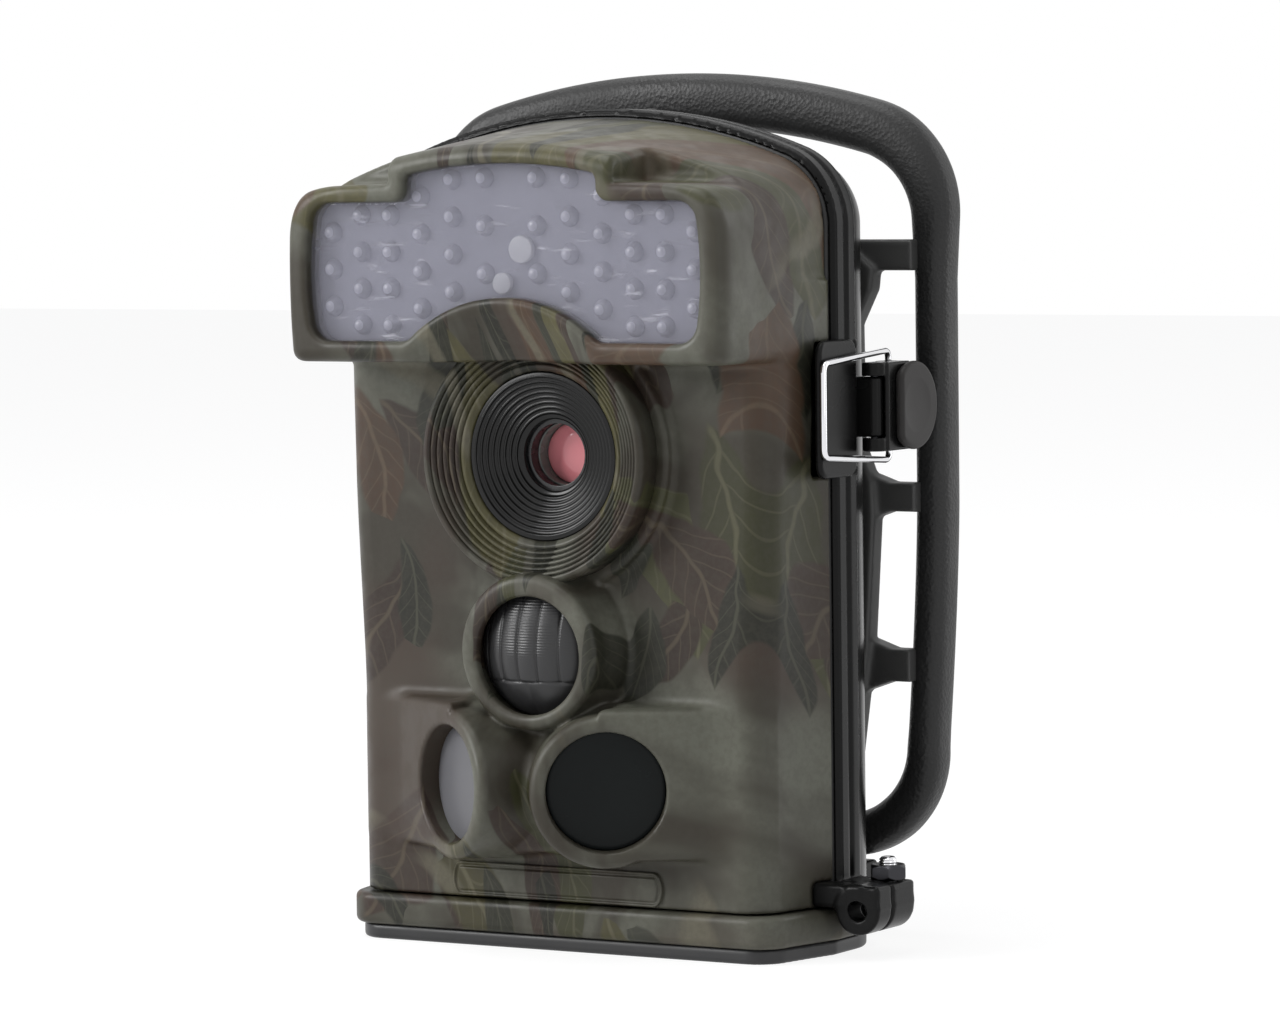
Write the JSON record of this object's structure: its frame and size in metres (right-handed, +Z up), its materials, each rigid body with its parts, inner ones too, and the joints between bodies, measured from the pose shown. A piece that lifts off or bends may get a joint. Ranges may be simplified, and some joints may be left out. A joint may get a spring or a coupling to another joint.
{
  "type": "trail camera",
  "caption": "Camouflaged trail camera with a hinged door, draw latch, infrared flash hood, lens, motion sensors and a hooped strap mount.",
  "frame": {"origin": "centre of the mouth of the tripod socket, on the underside of the foot", "axes": "+Z up out of the foot, -Y out of the lens, +X towards the latch side; door and housing part on Y = 0"},
  "size_m": [0.1068, 0.0671, 0.1471],
  "materials": {
    "camo_plastic": "satin, printed leaf camouflage",
    "black_gloss": "polished moulding",
    "black_plastic": "fine moulded",
    "black_rubber": "matte",
    "textured_black": "fine leather grain",
    "matte_grey": "flat",
    "satin_black": "satin",
    "grey_plastic": "fine moulded",
    "white_plastic": "fine moulded",
    "brass": "machined",
    "steel": "satin",
    "dark_steel": "oxide",
    "black_steel": "oxide",
    "chrome": "bright",
    "nickel": "plated",
    "gold_contact": "plated",
    "battery_jacket": "printed jacket, bare of lettering",
    "lens_black": "polished, stepped rings",
    "lens_glass": "coated",
    "sensor_silicon": "polished",
    "window_smoke": "polished",
    "led_reflector": "satin",
    "led_dome": "clear domes",
    "pir_dark": "moulded sensor lens",
    "pir_grey": "moulded sensor lens",
    "board_green": "solder mask",
    "screen_glass": "polished",
    "key_rubber": "matte",
    "key_grey": "matte",
    "card_blue": "moulded, no label"
  },
  "bodies": {
    "housing": {"rear_housing": "black_gloss", "housing_gasket": "black_rubber", "foot_cap": "camo_plastic", "base_plate": "black_plastic", "tripod_insert": "brass", "base_screws": "dark_steel", "battery_tray": "grey_plastic", "batteries": "battery_jacket", "battery_springs": "nickel", "contact_pins": "gold_contact", "hinge_pins": "steel", "lever_pin": "steel", "tether_stud": "chrome", "tether_nut": "black_steel", "bracket_hoop": "textured_black", "bracket_plate": "matte_grey", "bracket_screws": "dark_steel"},
    "front_door": {"front_shell": "camo_plastic", "name_plate": "camo_plastic", "lens_ring": "camo_plastic", "lens_bezel": "lens_black", "lens_barrel": "lens_black", "lens_glass": "lens_glass", "image_sensor": "sensor_silicon", "led_window": "window_smoke", "led_board": "led_reflector", "ir_leds": "led_dome", "light_sensor": "led_dome", "status_light": "led_dome", "pir_lens": "pir_dark", "pir_sensor": "nickel", "side_window_left": "pir_grey", "side_window_right": "pir_dark", "side_sensors": "nickel", "sensor_wedges": "white_plastic", "main_board": "board_green", "inner_panel": "black_plastic", "door_screws": "steel", "lcd_screen": "screen_glass", "sd_slot": "nickel", "usb_socket": "nickel", "av_jack": "black_plastic", "dc_jack": "black_plastic", "contact_pads": "gold_contact", "door_hinge": "black_plastic", "catch_plate": "black_gloss", "front_lock_lug": "black_gloss"},
    "key_up_body": {"key_up": "key_rubber"},
    "key_down_body": {"key_down": "key_rubber"},
    "key_left_body": {"key_left": "key_rubber"},
    "key_right_body": {"key_right": "key_rubber"},
    "key_ok_body": {"key_ok": "key_grey"},
    "key_menu_body": {"key_menu": "key_grey"},
    "switch_body": {"power_switch": "white_plastic"},
    "card_body": {"sd_card": "card_blue"},
    "lever_body": {"latch_lever": "black_gloss", "thumb_tab": "satin_black"},
    "bail_body": {"wire_bail": "chrome"}
  },
  "joints": [
    {"name": "door_hinge_joint", "type": "hinge", "parent": "housing", "child": "front_door", "pos_m": [-0.0471, 0.0045, 0.064], "axis": [0, 0, -1], "range_deg": [0, 120]},
    {"name": "lever_joint", "type": "hinge", "parent": "housing", "child": "lever_body", "pos_m": [0.0479, 0.008, 0.091], "axis": [0, 0, -1], "range_deg": [0, 110]},
    {"name": "bail_joint", "type": "hinge", "parent": "lever_body", "child": "bail_body", "pos_m": [0.047, 0.0146, 0.091], "axis": [0, 0, 1], "range_deg": [0, 165.1]},
    {"name": "switch_slide", "type": "slide", "parent": "front_door", "child": "switch_body", "axis": [1, 0, 0], "range_m": [-0.0045, 0.0045]},
    {"name": "card_slide", "type": "slide", "parent": "front_door", "child": "card_body", "axis": [1, 0, 0], "range_m": [0, 0.018]},
    {"name": "key_up_press", "type": "slide", "parent": "front_door", "child": "key_up_body", "axis": [0, -1, 0], "range_m": [0, 0.0005], "stiffness_N_per_m": 600},
    {"name": "key_down_press", "type": "slide", "parent": "front_door", "child": "key_down_body", "axis": [0, -1, 0], "range_m": [0, 0.0005], "stiffness_N_per_m": 600},
    {"name": "key_left_press", "type": "slide", "parent": "front_door", "child": "key_left_body", "axis": [0, -1, 0], "range_m": [0, 0.0005], "stiffness_N_per_m": 600},
    {"name": "key_right_press", "type": "slide", "parent": "front_door", "child": "key_right_body", "axis": [0, -1, 0], "range_m": [0, 0.0005], "stiffness_N_per_m": 600},
    {"name": "key_ok_press", "type": "slide", "parent": "front_door", "child": "key_ok_body", "axis": [0, -1, 0], "range_m": [0, 0.0005], "stiffness_N_per_m": 600},
    {"name": "key_menu_press", "type": "slide", "parent": "front_door", "child": "key_menu_body", "axis": [0, -1, 0], "range_m": [0, 0.0005], "stiffness_N_per_m": 600}
  ],
  "couplings": [
    {"joint": "bail_joint", "follows": "lever_joint", "ratio": 1.5}
  ]
}
